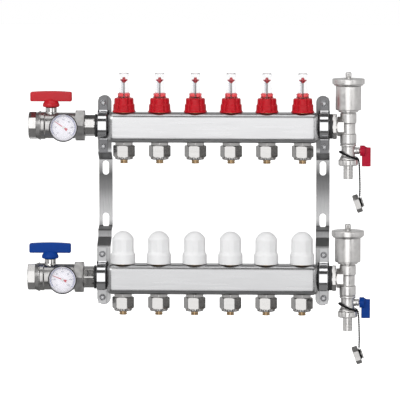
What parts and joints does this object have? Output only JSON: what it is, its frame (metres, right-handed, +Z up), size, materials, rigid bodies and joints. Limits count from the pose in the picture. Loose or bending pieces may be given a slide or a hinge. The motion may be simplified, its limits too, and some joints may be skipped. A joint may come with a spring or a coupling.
{
  "type": "heating manifold",
  "caption": "Underfloor heating manifold: supply and return rails on wall brackets with flow meters, manual caps, ball valves, dial gauges, air vents and drain valves.",
  "frame": {"origin": "centre of the left bracket's two wall slots, on the wall plane", "axes": "+X along the rails to the right, -Y out of the wall to the viewer, +Z up"},
  "size_m": [0.4783, 0.106, 0.4074],
  "materials": {
    "rail_steel": "brushed stainless steel",
    "bracket_steel": "satin plated steel strip",
    "bright_steel": "bright zinc plated steel",
    "nickel_brass": "satin nickel plated brass",
    "brass": "bare machined brass",
    "black_rubber": "matt rubber",
    "red_plastic": "moulded red plastic",
    "red_handle": "red coated handle",
    "blue_handle": "blue coated handle",
    "white_plastic": "moulded white plastic",
    "clear_plastic": "clear moulded plastic",
    "dial_white": "printed dial",
    "case_black": "black case",
    "pointer_red": "red pointer",
    "strap_black": "soft black plastic"
  },
  "bodies": {
    "root": {"supply_rail": "rail_steel", "return_rail": "rail_steel", "sight_glasses": "clear_plastic", "valve_inserts": "brass", "outlet_nipples": "nickel_brass", "pipe_nuts": "nickel_brass", "pipe_inserts": "brass", "left_bracket": "bracket_steel", "right_bracket": "bracket_steel", "clamp_straps": "bright_steel", "clamp_liners": "black_rubber", "clamp_screws": "bright_steel", "valve_bodies": "nickel_brass", "union_tailpieces": "nickel_brass", "union_nuts": "nickel_brass", "gauge_cases": "case_black", "gauge_dials": "dial_white", "gauge_lenses": "clear_plastic", "end_adapters": "nickel_brass", "tee_bodies": "nickel_brass", "vent_bodies": "nickel_brass", "vent_covers": "nickel_brass", "hose_tails": "nickel_brass", "seals": "black_rubber", "supply_strap": "strap_black", "return_strap": "strap_black", "supply_hose_cap": "nickel_brass", "return_hose_cap": "nickel_brass"},
    "flow_knob_1": {"flow_knob_1": "red_plastic"},
    "flow_float_1": {"flow_float_1": "pointer_red"},
    "return_cap_1": {"return_cap_1": "white_plastic"},
    "flow_knob_2": {"flow_knob_2": "red_plastic"},
    "flow_float_2": {"flow_float_2": "pointer_red"},
    "return_cap_2": {"return_cap_2": "white_plastic"},
    "flow_knob_3": {"flow_knob_3": "red_plastic"},
    "flow_float_3": {"flow_float_3": "pointer_red"},
    "return_cap_3": {"return_cap_3": "white_plastic"},
    "flow_knob_4": {"flow_knob_4": "red_plastic"},
    "flow_float_4": {"flow_float_4": "pointer_red"},
    "return_cap_4": {"return_cap_4": "white_plastic"},
    "flow_knob_5": {"flow_knob_5": "red_plastic"},
    "flow_float_5": {"flow_float_5": "pointer_red"},
    "return_cap_5": {"return_cap_5": "white_plastic"},
    "flow_knob_6": {"flow_knob_6": "red_plastic"},
    "flow_float_6": {"flow_float_6": "pointer_red"},
    "return_cap_6": {"return_cap_6": "white_plastic"},
    "supply_handle": {"supply_handle": "red_handle", "supply_valve_stem": "nickel_brass", "supply_valve_ball": "bright_steel"},
    "supply_drain_handle": {"supply_drain_handle": "red_handle", "supply_drain_ball": "nickel_brass"},
    "supply_needle": {"supply_needle": "pointer_red"},
    "supply_vent_cap": {"supply_vent_cap": "nickel_brass"},
    "return_handle": {"return_handle": "blue_handle", "return_valve_stem": "nickel_brass", "return_valve_ball": "bright_steel"},
    "return_drain_handle": {"return_drain_handle": "blue_handle", "return_drain_ball": "nickel_brass"},
    "return_needle": {"return_needle": "pointer_red"},
    "return_vent_cap": {"return_vent_cap": "nickel_brass"}
  },
  "joints": [
    {"name": "flow_knob_1_turn", "type": "hinge", "parent": "root", "child": "flow_knob_1", "pos_m": [0.028, -0.041, 0.13], "axis": [0, 0, 1], "range_deg": [0, 900]},
    {"name": "flow_float_1_slide", "type": "slide", "parent": "root", "child": "flow_float_1", "axis": [0, 0, -1], "range_m": [0, 0.02], "stiffness_N_per_m": 20, "springref_m": -0.01},
    {"name": "return_cap_1_turn", "type": "hinge", "parent": "root", "child": "return_cap_1", "pos_m": [0.028, -0.069, -0.08], "axis": [0, 0, 1], "range_deg": [0, 1080]},
    {"name": "flow_knob_2_turn", "type": "hinge", "parent": "root", "child": "flow_knob_2", "pos_m": [0.078, -0.041, 0.13], "axis": [0, 0, 1], "range_deg": [0, 900]},
    {"name": "flow_float_2_slide", "type": "slide", "parent": "root", "child": "flow_float_2", "axis": [0, 0, -1], "range_m": [0, 0.02], "stiffness_N_per_m": 20, "springref_m": -0.01},
    {"name": "return_cap_2_turn", "type": "hinge", "parent": "root", "child": "return_cap_2", "pos_m": [0.078, -0.069, -0.08], "axis": [0, 0, 1], "range_deg": [0, 1080]},
    {"name": "flow_knob_3_turn", "type": "hinge", "parent": "root", "child": "flow_knob_3", "pos_m": [0.128, -0.041, 0.13], "axis": [0, 0, 1], "range_deg": [0, 900]},
    {"name": "flow_float_3_slide", "type": "slide", "parent": "root", "child": "flow_float_3", "axis": [0, 0, -1], "range_m": [0, 0.02], "stiffness_N_per_m": 20, "springref_m": -0.01},
    {"name": "return_cap_3_turn", "type": "hinge", "parent": "root", "child": "return_cap_3", "pos_m": [0.128, -0.069, -0.08], "axis": [0, 0, 1], "range_deg": [0, 1080]},
    {"name": "flow_knob_4_turn", "type": "hinge", "parent": "root", "child": "flow_knob_4", "pos_m": [0.178, -0.041, 0.13], "axis": [0, 0, 1], "range_deg": [0, 900]},
    {"name": "flow_float_4_slide", "type": "slide", "parent": "root", "child": "flow_float_4", "axis": [0, 0, -1], "range_m": [0, 0.02], "stiffness_N_per_m": 20, "springref_m": -0.01},
    {"name": "return_cap_4_turn", "type": "hinge", "parent": "root", "child": "return_cap_4", "pos_m": [0.178, -0.069, -0.08], "axis": [0, 0, 1], "range_deg": [0, 1080]},
    {"name": "flow_knob_5_turn", "type": "hinge", "parent": "root", "child": "flow_knob_5", "pos_m": [0.228, -0.041, 0.13], "axis": [0, 0, 1], "range_deg": [0, 900]},
    {"name": "flow_float_5_slide", "type": "slide", "parent": "root", "child": "flow_float_5", "axis": [0, 0, -1], "range_m": [0, 0.02], "stiffness_N_per_m": 20, "springref_m": -0.01},
    {"name": "return_cap_5_turn", "type": "hinge", "parent": "root", "child": "return_cap_5", "pos_m": [0.228, -0.069, -0.08], "axis": [0, 0, 1], "range_deg": [0, 1080]},
    {"name": "flow_knob_6_turn", "type": "hinge", "parent": "root", "child": "flow_knob_6", "pos_m": [0.278, -0.041, 0.13], "axis": [0, 0, 1], "range_deg": [0, 900]},
    {"name": "flow_float_6_slide", "type": "slide", "parent": "root", "child": "flow_float_6", "axis": [0, 0, -1], "range_m": [0, 0.02], "stiffness_N_per_m": 20, "springref_m": -0.01},
    {"name": "return_cap_6_turn", "type": "hinge", "parent": "root", "child": "return_cap_6", "pos_m": [0.278, -0.069, -0.08], "axis": [0, 0, 1], "range_deg": [0, 1080]},
    {"name": "supply_handle_turn", "type": "hinge", "parent": "root", "child": "supply_handle", "pos_m": [-0.074, -0.041, 0.13], "axis": [0, 0, 1], "range_deg": [0, 90]},
    {"name": "supply_drain_turn", "type": "hinge", "parent": "root", "child": "supply_drain_handle", "pos_m": [0.3577, -0.041, 0.066], "axis": [-1, 0, 0], "range_deg": [0, 90]},
    {"name": "supply_needle_turn", "type": "hinge", "parent": "root", "child": "supply_needle", "pos_m": [-0.0547, -0.073, 0.1], "axis": [0, -1, 0], "range_deg": [-190, 80], "stiffness_Nm_per_rad": 0.0005},
    {"name": "supply_vent_cap_turn", "type": "hinge", "parent": "root", "child": "supply_vent_cap", "pos_m": [0.3417, -0.041, 0.171], "axis": [0, 0, 1], "range_deg": [0, 720]},
    {"name": "return_handle_turn", "type": "hinge", "parent": "root", "child": "return_handle", "pos_m": [-0.074, -0.069, -0.08], "axis": [0, 0, 1], "range_deg": [0, 90]},
    {"name": "return_drain_turn", "type": "hinge", "parent": "root", "child": "return_drain_handle", "pos_m": [0.3577, -0.069, -0.144], "axis": [-1, 0, 0], "range_deg": [0, 90]},
    {"name": "return_needle_turn", "type": "hinge", "parent": "root", "child": "return_needle", "pos_m": [-0.0547, -0.101, -0.11], "axis": [0, -1, 0], "range_deg": [-203, 67], "stiffness_Nm_per_rad": 0.0005},
    {"name": "return_vent_cap_turn", "type": "hinge", "parent": "root", "child": "return_vent_cap", "pos_m": [0.3417, -0.069, -0.039], "axis": [0, 0, 1], "range_deg": [0, 720]}
  ]
}
